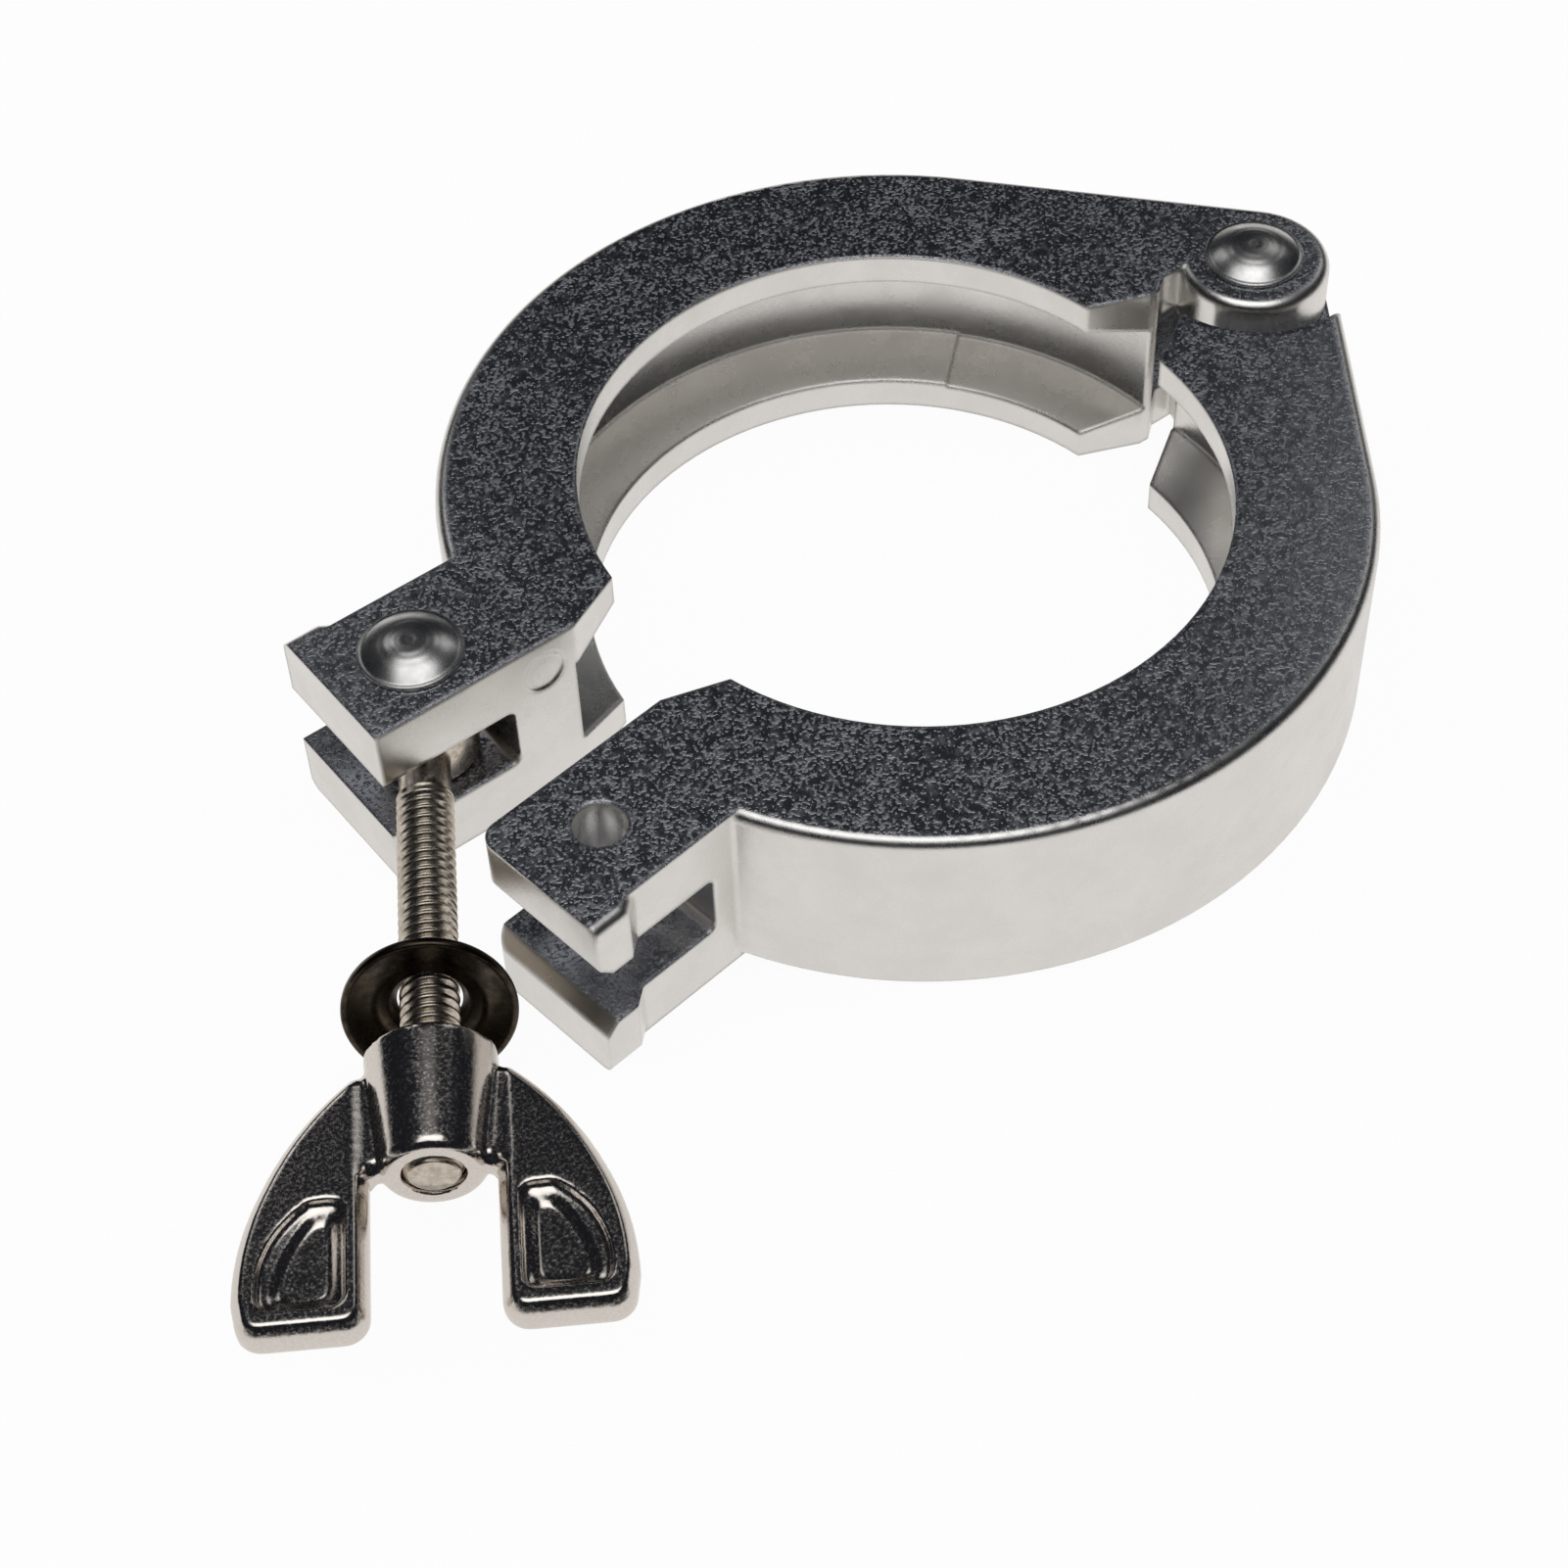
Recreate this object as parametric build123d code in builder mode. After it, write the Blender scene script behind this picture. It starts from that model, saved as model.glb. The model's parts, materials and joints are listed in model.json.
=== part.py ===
from build123d import *
from math import acos, asin, atan2, cos, degrees, hypot, radians, sin, tan
import os

os.makedirs("parts", exist_ok=True)

# Hinged clamp for a pair of DN40 small flanges.
# The ring axis is Z, the joint plane of the flanges is z = 0, and +X points at the hinge.

# ---- ring and groove ----
clamp_height = 16.0
ring_radius = 33.6
lip_radius = 23.0
groove_radius = 27.9
lip_thickness = 2.6
cone_angle = 15.0
lip_end_drop = 2.0          # how far a lip's end stands back from the parting plane
lip_end_length = 4.6
edge_round = 0.9

# ---- parting faces and bolt lugs ----
parting_gap = 2.2
lug_width = 11.1
lug_reach = 11.1            # how far the lug stands out beyond the ring
lug_root_x = -24.0
lug_corner_round = 1.5      # between the lug's end and its parting face
retainer_height = 1.0       # raised lip that keeps the washer on the lug
retainer_length = 2.9
retainer_run = 1.4
bolt_slot_height = 5.6
bolt_slot_length = 11.4     # from the lug's end
slot_corner = 0.8
lead_in = 1.1               # bevel round the slot's mouth at the lug's end
lug_hole_inset = 6.55       # from the lug's end to its hole
lug_hole_offset = 5.3       # from the parting face to the lug's hole

# ---- hinge ----
hinge_reach = 3.3           # from the ring's outside to the pin
hinge_offset = -0.6         # the pin stands on the tongue's side of the parting plane
ear_radius = 6.0
tongue_thickness = 7.6
tongue_side_play = 0.2
slot_relief = 2.5           # beyond the ear, in the half that carries the fork
knuckle_relief = 2.9        # beyond the ear, in the half that carries the tongue
ear_notch = 1.0             # depth of the notch between the parting face and the ear
ear_notch_run = 1.3
ear_notch_start = 2.4       # from the ear, along the parting face
opening = 6.66              # from closed, in the rest pose

# ---- rivets ----
rivet_diameter = 3.8
rivet_hole_play = 0.05
tongue_bore_play = 0.08
head_diameter = 7.8
head_height = 1.35
head_rim = 0.35
peen_diameter = 5.4
peen_depth = 0.9
peen_play = 0.03
dimple_radius = 1.3
dimple_depth = 0.2

# ---- swing bolt, No. 8-32 ----
thread_diameter = 4.17
thread_pitch = 25.4 / 32
bolt_length = 39.3          # from the pivot to the screw's end
bolt_swing_out = 32.7       # from square to the parting face, in the rest pose
bolt_end_chamfer = 0.45
neck_diameter = 3.8
eye_diameter = 7.9
eye_side_play = 0.2
eye_bore_play = 0.08
neck_length = 7.0

# ---- cup washer ----
washer_diameter = 12.1
washer_hole = 5.1
washer_thickness = 0.9
washer_depth = 2.1
washer_back = 5.1           # from the nut's base to the middle of the washer's hole
washer_drop = 0.15          # it hangs on the bolt by its hole
washer_tilt = 15.0
washer_seat_diameter = 7.6  # flat middle, from which the rim rises

# ---- wing nut ----
nut_thread_play = 0.06
hub_base_diameter = 9.8
hub_end_diameter = 7.8
hub_length = 9.3
hub_end_round = 0.5
wing_span = 26.1
wing_reach = 22.0           # from the hub's base to the wing tips
wing_gap = 8.4
wing_thickness = 2.4
wing_edge = 0.7
wing_start = 0.9            # from the hub's base to the wing's root
wing_shoulder = 3.2         # straight length beside each tip
wing_tip_round = 1.7
wing_bow = (0.34, 0.775)    # a point of each wing's outer edge, as parts of its reach and half span
tip_slant = 0.5
wing_web = 1.0
hub_root_inset = 0.4
pad_border = 1.9
pad_inset = 1.5
pad_length = 8.6
pad_crown = 2.2
pad_bow = 0.35              # how far the pad's outer side stands in at mid-length
pad_bow_shift = 0.5
pad_corner = 0.9
pad_depth = 0.45

# ---- casting marks ----
pin_mark_diameter = 3.4
pin_mark_depth = 0.15
pin_mark_x = -30.5
pin_mark_z = 5.0
step_depth = 0.18
step_angle = 38.5

# ---- sizes that follow ----
half_height = clamp_height / 2
half_gap = parting_gap / 2
lug_outer = half_gap + lug_width
lug_end_x = -ring_radius - lug_reach
lug_hole_x = lug_end_x + lug_hole_inset
bolt_slot_end_x = lug_end_x + bolt_slot_length
hinge_x = ring_radius + hinge_reach
hinge_point = (hinge_x, hinge_offset)
lug_hole_y = half_gap + lug_hole_offset
groove_lip = half_height - lip_thickness
groove_floor = groove_lip - (groove_radius - lip_radius) * tan(radians(cone_angle))
tongue_slot = tongue_thickness + 2 * tongue_side_play
flank_angle = degrees(acos((ring_radius - ear_radius) / hypot(hinge_x, hinge_offset)))
hinge_bearing = degrees(atan2(hinge_offset, hinge_x))
eye_thickness = bolt_slot_height - 2 * eye_side_play
rivet_radius = rivet_diameter / 2
nut_base = bolt_length - hub_length
washer_distance = nut_base - washer_back
peen_level = -half_height + peen_depth / 2
pad_inner = wing_gap / 2 + pad_inset
pad_end = nut_base + wing_reach - pad_border
pad_start = pad_end - pad_length
pad_middle = (pad_start + pad_end) / 2

hinge_axis = Axis((hinge_x, hinge_offset, 0), (0, 0, 1))
ring_axis = Axis.Z

# The bolt lies in the joint plane; its own plane has x along the bolt and z upwards.
bolt_angle = -90 - bolt_swing_out
bolt_direction = Vector(cos(radians(bolt_angle)), sin(radians(bolt_angle)), 0)
pivot = Vector(lug_hole_x, lug_hole_y, 0)
bolt_plane = Plane(origin=pivot, x_dir=bolt_direction, z_dir=(0, 0, 1))
bolt_axis = Axis(pivot, bolt_direction)

# The washer leans back against the bolt: its normal points up by the tilt.
washer_normal = bolt_direction * cos(radians(washer_tilt)) + Vector(0, 0, sin(radians(washer_tilt)))
washer_centre = pivot + bolt_direction * washer_distance - Vector(0, 0, washer_drop)
washer_axis = Axis(washer_centre, washer_normal)
washer_across = bolt_plane.y_dir
washer_section = Plane(washer_centre, x_dir=washer_across, z_dir=washer_across.cross(washer_normal))


def polar(radius, angle):
    return (radius * cos(radians(angle)), radius * sin(radians(angle)))


def mirrored(points, side):
    return [(x, side * y) for x, y in points]


def half_plan(side):
    """Outline of one half, seen along the ring axis: side is 1 for +Y and -1 for -Y."""
    touch_angle = hinge_bearing + side * flank_angle
    ring_touch = polar(ring_radius, touch_angle)
    ear_touch = polar(ear_radius, touch_angle)
    lug = [
        (lug_root_x, half_gap),
        (lug_end_x, half_gap),
        (lug_end_x, lug_outer + retainer_height),
        (lug_end_x + retainer_length, lug_outer + retainer_height),
        (lug_end_x + retainer_length + retainer_run, lug_outer),
        (lug_root_x, lug_outer),
    ]
    flank = [(0, 0), ring_touch, (hinge_x + ear_touch[0], hinge_offset + ear_touch[1]), hinge_point]
    lip_end = [
        (lip_radius - lip_end_length, half_gap - lip_end_drop),
        (lip_radius - lip_end_length, half_gap + 2 * lip_end_drop),
        (lip_radius, half_gap + lip_end_drop),
        (lip_radius + lip_end_length, half_gap),
        (lip_radius + lip_end_length, half_gap - lip_end_drop),
    ]
    notch_x = hinge_x - ear_radius - ear_notch_start
    notch = [
        (notch_x, half_gap - ear_notch),
        (notch_x, half_gap),
        (notch_x + ear_notch_run, half_gap + ear_notch),
        (hinge_x, half_gap + ear_notch),
        (hinge_x, half_gap - ear_notch),
    ]
    with BuildSketch() as plan:
        Circle(ring_radius)
        Polygon(*flank, align=None)
        with Locations((0, side * (half_gap - ring_radius))):
            Rectangle(4 * ring_radius, 2 * ring_radius, mode=Mode.SUBTRACT)
        Polygon(*mirrored(lug, side), align=None)
        Circle(lip_radius, mode=Mode.SUBTRACT)
        Polygon(*mirrored(lip_end, side), align=None, mode=Mode.SUBTRACT)
        mirror(Polygon(*mirrored(lip_end, side), align=None, mode=Mode.PRIVATE), about=Plane.YZ,
               mode=Mode.SUBTRACT)
        Polygon(*mirrored(notch, side), align=None, mode=Mode.SUBTRACT)
        with Locations(hinge_point):
            Circle(ear_radius)
    return plan.sketch


def is_lug_corner(edge):
    """The upright edge where the lug's end meets its parting face."""
    middle = edge.position_at(0.5)
    return abs(middle.X - lug_end_x) < 0.001 and abs(abs(middle.Y) - half_gap) < 0.001


def is_outer_edge(edge):
    """Edges of the top and bottom faces that run round the outside, from the lug to the ear."""
    middle = edge.position_at(0.5)
    on_face = abs(abs(middle.Z) - half_height) < 0.001
    return on_face and hypot(middle.X, middle.Y) > ring_radius - 0.1 and abs(middle.Y) > lug_outer


def casting(side):
    """What the two halves share: the ring, its groove, the bolt lug and the hinge lump."""
    with BuildPart() as blank:
        with BuildSketch(Plane.XY.offset(-half_height)):
            add(half_plan(side))
        extrude(amount=clamp_height)
        fillet(blank.edges().filter_by(is_outer_edge), edge_round)

        # Groove that draws the two flanges together.
        with BuildSketch(Plane.XZ):
            with BuildLine():
                Polyline(
                    (lip_radius - 1, groove_lip),
                    (lip_radius, groove_lip),
                    (groove_radius, groove_floor),
                    (groove_radius, -groove_floor),
                    (lip_radius, -groove_lip),
                    (lip_radius - 1, -groove_lip),
                    close=True,
                )
            make_face()
        revolve(axis=ring_axis, mode=Mode.SUBTRACT)

        # Slot that the bolt swings through.
        slot_length = 2 * (bolt_slot_end_x - lug_end_x)
        with BuildSketch(Plane.XZ.offset(-side * lug_outer / 2)):
            with Locations((bolt_slot_end_x - slot_length / 2, 0)):
                RectangleRounded(slot_length, bolt_slot_height, slot_corner)
        extrude(amount=lug_outer, both=True, mode=Mode.SUBTRACT)
        # Rivet hole through both plates of the lug.
        with Locations((lug_hole_x, side * lug_hole_y, 0)):
            Hole(rivet_radius + rivet_hole_play)
    return blank.part


def rivet_sketch_plane(x, y):
    return Plane(origin=(x, y, 0), x_dir=(1, 0, 0), z_dir=(0, -1, 0))


# ---- half with the fork and the bolt pivot ----
fork_blank = casting(1)
with BuildPart() as fork_half:
    add(fork_blank)
    # Room for the tongue between the two ears.
    with Locations(hinge_axis.position):
        Cylinder(ear_radius + slot_relief, tongue_slot, mode=Mode.SUBTRACT)
        Hole(rivet_radius + rivet_hole_play)
    # Countersinks for the peened ends of both rivets.
    with Locations((hinge_x, hinge_offset, peen_level), (lug_hole_x, lug_hole_y, peen_level)):
        Cone(peen_diameter / 2 + peen_play, rivet_radius + peen_play, peen_depth, mode=Mode.SUBTRACT)
    # Ejector pin mark on the parting face of the lug.
    with BuildSketch(Plane.XZ.offset(-half_gap)):
        with Locations((pin_mark_x, pin_mark_z)):
            Circle(pin_mark_diameter / 2)
    extrude(amount=-pin_mark_depth, mode=Mode.SUBTRACT)
    # Joint line of the die's cores: the lower cone is a little deeper from here to the hinge.
    with BuildSketch(Plane.XZ.rotated((0, 0, step_angle))):
        with BuildLine():
            Polyline(
                (lip_radius - 1, -groove_lip),
                (lip_radius, -groove_lip),
                (groove_radius, -groove_floor),
                (groove_radius, -groove_floor - step_depth),
                (lip_radius, -groove_lip - step_depth),
                (lip_radius - 1, -groove_lip - step_depth),
                close=True,
            )
        make_face()
    revolve(axis=ring_axis, revolution_arc=-step_angle, mode=Mode.SUBTRACT)
fork_half.part.label = "fork_half"
export_step(fork_half.part, "parts/fork_half.step")

# ---- half with the tongue and the open slot ----
tongue_blank = casting(-1)
with BuildPart() as closed_tongue_half:
    add(tongue_blank)
    fillet(closed_tongue_half.edges().filter_by(Axis.Z).filter_by(is_lug_corner), lug_corner_round)
    # Bevels above and below the slot's mouth at the lug's end lead the bolt in.
    mouth = bolt_slot_height / 2 + lead_in
    with BuildSketch(Plane.XZ):
        Polygon((lug_end_x, mouth), (lug_end_x + mouth, 0), (lug_end_x, -mouth), align=None)
    extrude(amount=lug_outer + retainer_height, mode=Mode.SUBTRACT)
    # The tongue is what is left between two round reliefs for the fork's ears.
    relief_height = half_height - tongue_thickness / 2
    for level in (tongue_thickness / 2 + relief_height / 2, -tongue_thickness / 2 - relief_height / 2):
        with Locations((hinge_x, hinge_offset, level)):
            Cylinder(ear_radius + knuckle_relief, relief_height, mode=Mode.SUBTRACT)
    with Locations(hinge_axis.position):
        Hole(rivet_radius + tongue_bore_play)
tongue_half = closed_tongue_half.part.rotate(hinge_axis, opening)
tongue_half.label = "tongue_half"
export_step(tongue_half, "parts/tongue_half.step")


def rivet(x, y):
    """Domed rivet with a thin rim round the dome, its far end peened flush with the lower face."""
    head_radius = head_diameter / 2
    dome_radius = head_radius - head_rim
    rim_level = half_height + head_rim
    head_top = half_height + head_height
    dome_rise = head_height - head_rim
    sphere_radius = (dome_radius**2 + dome_rise**2) / (2 * dome_rise)
    half_turn = asin(dome_radius / sphere_radius) / 2
    with BuildPart() as built:
        with BuildSketch(rivet_sketch_plane(x, y)):
            with BuildLine():
                Polyline(
                    (0, head_top),
                    (0, -half_height),
                    (peen_diameter / 2, -half_height),
                    (rivet_radius, -half_height + peen_depth),
                    (rivet_radius, half_height),
                    (head_radius, half_height),
                    (head_radius, rim_level),
                    (dome_radius, rim_level),
                )
                ThreePointArc(
                    (dome_radius, rim_level),
                    (
                        sphere_radius * sin(half_turn),
                        head_top - sphere_radius * (1 - cos(half_turn)),
                    ),
                    (0, head_top),
                )
            make_face()
        revolve(axis=Axis((x, y, 0), (0, 0, 1)))
        # Shallow dimple left by the riveting tool.
        dimple_sphere = (dimple_radius**2 + dimple_depth**2) / (2 * dimple_depth)
        with Locations((x, y, head_top - dimple_depth + dimple_sphere)):
            Sphere(dimple_sphere, mode=Mode.SUBTRACT)
    return built.part


hinge_rivet = rivet(hinge_x, hinge_offset)
hinge_rivet.label = "hinge_rivet"
export_step(hinge_rivet, "parts/hinge_rivet.step")

pivot_rivet = rivet(lug_hole_x, lug_hole_y)
pivot_rivet.label = "pivot_rivet"
export_step(pivot_rivet, "parts/pivot_rivet.step")

# ---- swing bolt ----
with BuildPart() as swing_bolt:
    with BuildSketch(bolt_plane.offset(-eye_thickness / 2)):
        Circle(eye_diameter / 2)
    extrude(amount=eye_thickness)
    with BuildSketch(bolt_plane):
        with BuildLine():
            Polyline(
                (0, 0),
                (0, neck_diameter / 2),
                (neck_length, neck_diameter / 2),
                (neck_length + bolt_end_chamfer, thread_diameter / 2),
                (bolt_length - bolt_end_chamfer, thread_diameter / 2),
                (bolt_length, thread_diameter / 2 - bolt_end_chamfer),
                (bolt_length, 0),
                close=True,
            )
        make_face()
    revolve(axis=bolt_axis)
    with BuildSketch(bolt_plane.offset(-eye_thickness / 2)):
        Circle(rivet_radius + eye_bore_play)
    extrude(amount=eye_thickness, mode=Mode.SUBTRACT)
swing_bolt.part.label = "swing_bolt"
export_step(swing_bolt.part, "parts/swing_bolt.step")

# ---- cup washer: dished, with its hollow side to the nut ----
with BuildPart() as cup_washer:
    hole_radius = washer_hole / 2
    rim_radius = washer_diameter / 2
    rise = washer_depth - washer_thickness
    seat_radius = washer_seat_diameter / 2
    half_thickness = washer_thickness / 2
    with BuildSketch(washer_section):
        Polygon(
            (hole_radius, -half_thickness),
            (seat_radius, -half_thickness),
            (rim_radius, rise - half_thickness),
            (rim_radius, rise + half_thickness),
            (seat_radius, half_thickness),
            (hole_radius, half_thickness),
            align=None,
        )
    revolve(axis=washer_axis)
cup_washer.part.label = "cup_washer"
export_step(cup_washer.part, "parts/cup_washer.step")

# ---- wing nut ----
wing_tip = nut_base + wing_reach
half_span = wing_span / 2
inner_side = wing_gap / 2
hub_end = nut_base + hub_length
base_radius = hub_base_diameter / 2
end_radius = hub_end_diameter / 2
root_height = base_radius - hub_root_inset


def is_wing_rim(edge):
    """Edges of the two wings' upper and lower faces."""
    heights = [abs(edge.position_at(share).Z) for share in (0, 0.5, 1)]
    return min(heights) > wing_thickness / 2 - 0.001


with BuildPart() as wing_nut:
    with BuildSketch(bolt_plane.offset(-wing_thickness / 2)) as wings:
        for side in (1, -1):
            with BuildLine():
                ThreePointArc(
                    (nut_base + wing_start, side * root_height),
                    (nut_base + wing_bow[0] * wing_reach, side * wing_bow[1] * half_span),
                    (wing_tip - wing_shoulder, side * half_span),
                )
                Polyline(
                    (wing_tip - wing_shoulder, side * half_span),
                    (wing_tip, side * (half_span - tip_slant)),
                    (wing_tip, side * inner_side),
                    (hub_end, side * inner_side),
                    (hub_end - wing_web, 0),
                    (nut_base + wing_start, 0),
                    (nut_base + wing_start, side * root_height),
                )
            make_face()
        fillet(wings.vertices().group_by(Axis.X)[-1], wing_tip_round)
    extrude(amount=wing_thickness)
    chamfer(wing_nut.edges().filter_by(is_wing_rim), wing_edge)
    # Dished thumb pads on both faces of each wing.
    for level in (wing_thickness / 2 - pad_depth, -wing_thickness / 2):
        with BuildSketch(bolt_plane.offset(level)) as pads:
            for side in (1, -1):
                with BuildLine():
                    ThreePointArc(
                        (pad_start, side * (pad_inner + pad_crown)),
                        (pad_middle - pad_bow_shift, side * (half_span - pad_border - pad_bow)),
                        (pad_end, side * (half_span - pad_border)),
                    )
                    Polyline(
                        (pad_end, side * (half_span - pad_border)),
                        (pad_end, side * pad_inner),
                        (pad_start, side * pad_inner),
                        (pad_start, side * (pad_inner + pad_crown)),
                    )
                make_face()
            fillet(pads.vertices(), pad_corner)
        extrude(amount=pad_depth, mode=Mode.SUBTRACT)
    # Conical hub.
    with BuildSketch(bolt_plane):
        with BuildLine():
            Polyline(
                (nut_base, 0),
                (nut_base, base_radius),
                (hub_end - hub_end_round, end_radius),
                (hub_end, end_radius - hub_end_round),
                (hub_end, 0),
                close=True,
            )
        make_face()
    revolve(axis=bolt_axis)
    with BuildSketch(Plane(origin=pivot + bolt_direction * nut_base, z_dir=bolt_direction)):
        Circle(thread_diameter / 2 + nut_thread_play)
    extrude(amount=wing_reach, mode=Mode.SUBTRACT)
wing_nut.part.label = "wing_nut"
export_step(wing_nut.part, "parts/wing_nut.step")
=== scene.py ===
import json
import math

import bmesh
import bpy
from mathutils import Euler, Matrix, Vector


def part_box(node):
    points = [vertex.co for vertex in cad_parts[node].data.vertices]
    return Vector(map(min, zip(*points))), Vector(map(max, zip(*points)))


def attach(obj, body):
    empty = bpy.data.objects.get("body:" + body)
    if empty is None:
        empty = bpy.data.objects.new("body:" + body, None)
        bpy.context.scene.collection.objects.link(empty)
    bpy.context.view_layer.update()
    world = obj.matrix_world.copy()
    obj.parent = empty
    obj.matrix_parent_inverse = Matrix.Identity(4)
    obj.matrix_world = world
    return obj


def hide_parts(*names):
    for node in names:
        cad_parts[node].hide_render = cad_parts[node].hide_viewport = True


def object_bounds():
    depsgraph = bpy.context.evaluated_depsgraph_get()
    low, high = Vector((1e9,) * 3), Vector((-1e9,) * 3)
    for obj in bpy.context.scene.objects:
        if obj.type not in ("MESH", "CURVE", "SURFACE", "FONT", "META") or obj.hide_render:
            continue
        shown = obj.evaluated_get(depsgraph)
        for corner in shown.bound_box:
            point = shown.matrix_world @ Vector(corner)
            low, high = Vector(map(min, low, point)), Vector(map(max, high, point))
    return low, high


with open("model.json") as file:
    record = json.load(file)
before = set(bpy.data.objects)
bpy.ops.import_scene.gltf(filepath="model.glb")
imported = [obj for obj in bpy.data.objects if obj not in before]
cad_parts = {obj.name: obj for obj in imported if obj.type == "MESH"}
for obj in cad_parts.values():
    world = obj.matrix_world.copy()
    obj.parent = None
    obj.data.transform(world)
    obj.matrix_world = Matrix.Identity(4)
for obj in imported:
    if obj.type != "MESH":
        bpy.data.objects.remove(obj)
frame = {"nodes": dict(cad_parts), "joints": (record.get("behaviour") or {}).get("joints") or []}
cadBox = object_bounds()
mm = 0.001
joints = {joint["name"]: joint for joint in frame["joints"]}
pivot = Vector(joints["bolt_swing"]["pos_m"])
hinge = Vector(joints["half_hinge"]["pos_m"])
alongBolt = -Vector(joints["nut_turn"]["axis"]).normalized()
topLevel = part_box("fork_half")[1].z          # upper faces of both halves
print("frame loaded")


def linearColour(hexText):
    channels = [int(hexText[i:i + 2], 16) / 255 for i in (1, 3, 5)]
    linear = [c / 12.92 if c <= 0.04045 else ((c + 0.055) / 1.055) ** 2.4 for c in channels]
    return (*linear, 1.0)


def addNode(tree, kind, settings=None, links=None):
    node = tree.nodes.new(kind)
    for name, value in (settings or {}).items():
        if isinstance(name, str) and hasattr(node, name):
            setattr(node, name, value)
        else:
            node.inputs[name].default_value = value
    for name, socket in (links or {}).items():
        tree.links.new(socket, node.inputs[name])
    return node


def newMaterial(name):
    material = bpy.data.materials.new(name)
    material.use_nodes = True
    material.node_tree.nodes.clear()
    return material, material.node_tree


def boltSpace(distance=0.0, lift=0.0, tilt=0.0):
    # Z runs along the bolt away from the pivot, X across it and Y up or down
    across = Vector((0, 0, 1)).cross(alongBolt).normalized()
    forward = (alongBolt * math.cos(tilt) + Vector((0, 0, 1)) * math.sin(tilt)).normalized()
    up = forward.cross(across)
    turn = Matrix((across, up, forward)).transposed().to_4x4()
    return Matrix.Translation(pivot + alongBolt * distance + Vector((0, 0, lift))) @ turn


def roundCorners(corners, closed, steps=5):
    # corners are (radius, height, rounding) in mm, and each rounding becomes an arc
    points = []
    count = len(corners)
    for i, (r, h, rounding) in enumerate(corners):
        here = Vector((r, h))
        isEnd = not closed and i in (0, count - 1)
        if rounding == 0 or isEnd:
            points.append(here)
            continue
        before = (Vector(corners[i - 1][:2]) - here).normalized()
        after = (Vector(corners[(i + 1) % count][:2]) - here).normalized()
        half = before.angle(after) / 2
        reach = rounding / math.tan(half)
        centre = here + (before + after).normalized() * (rounding / math.sin(half))
        start = here + before * reach - centre
        finish = here + after * reach - centre
        sweep = start.angle_signed(finish)
        for k in range(steps + 1):
            turned = start.copy()
            turned.rotate(Matrix.Rotation(-sweep * k / steps, 2))
            points.append(centre + turned)
    return points


def lathe(shape, profile, place, closed=False, segments=96):
    # profile points are (radius, height) in mm; a radius of 0 becomes a pole
    rings = []
    for r, h in profile:
        if r < 1e-6:
            rings.append([shape.verts.new(place @ Vector((0, 0, h * mm)))])
            continue
        ring = []
        for k in range(segments):
            angle = 2 * math.pi * k / segments
            spot = Vector((r * mm * math.cos(angle), r * mm * math.sin(angle), h * mm))
            ring.append(shape.verts.new(place @ spot))
        rings.append(ring)
    following = rings[1:] + rings[:1] if closed else rings[1:]
    for lower, upper in zip(rings, following):
        for k in range(segments):
            after = (k + 1) % segments
            if len(lower) == 1 and len(upper) == 1:
                continue
            if len(lower) == 1:
                shape.faces.new((lower[0], upper[after], upper[k]))
            elif len(upper) == 1:
                shape.faces.new((lower[k], lower[after], upper[0]))
            else:
                shape.faces.new((lower[k], lower[after], upper[after], upper[k]))


def placePiece(name, mesh, material, body, node, sharpAngle=35):
    mesh.name = name
    if sharpAngle is not None:
        mesh.polygons.foreach_set("use_smooth", [True] * len(mesh.polygons))
        mesh.set_sharp_from_angle(angle=math.radians(sharpAngle))
    mesh.materials.clear()
    mesh.materials.append(material)
    piece = bpy.data.objects.new(name, mesh)
    bpy.context.scene.collection.objects.link(piece)
    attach(piece, body)
    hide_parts(node)
    return piece


def meshFromShape(shape, name):
    bmesh.ops.remove_doubles(shape, verts=shape.verts, dist=1e-7)
    bmesh.ops.recalc_face_normals(shape, faces=shape.faces)
    mesh = bpy.data.meshes.new(name)
    shape.to_mesh(mesh)
    shape.free()
    return mesh


def joinedCopy(node):
    # a CAD node's loose triangles, joined, with each corner's normal from its own surface
    source = frame["nodes"][node].data
    normals = [corner.vector.copy() for corner in source.corner_normals]
    shape = bmesh.new()
    shape.from_mesh(source)
    kept = shape.loops.layers.float_vector.new("surfaceNormal")
    corner = 0
    for face in shape.faces:
        for loop in face.loops:
            loop[kept] = normals[corner]
            corner += 1
    bmesh.ops.remove_doubles(shape, verts=shape.verts, dist=1e-6)
    mesh = bpy.data.meshes.new(node + "Copy")
    shape.to_mesh(mesh)
    shape.free()
    return mesh


def applyModifiers(mesh, modifiers):
    holder = bpy.data.objects.new("holder", mesh)
    bpy.context.scene.collection.objects.link(holder)
    for kind, settings in modifiers:
        modifier = holder.modifiers.new(kind.lower(), kind)
        for key, value in settings.items():
            setattr(modifier, key, value)
    bpy.context.view_layer.update()
    graph = bpy.context.evaluated_depsgraph_get()
    result = bpy.data.meshes.new_from_object(holder.evaluated_get(graph))
    bpy.data.objects.remove(holder)
    return result


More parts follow.
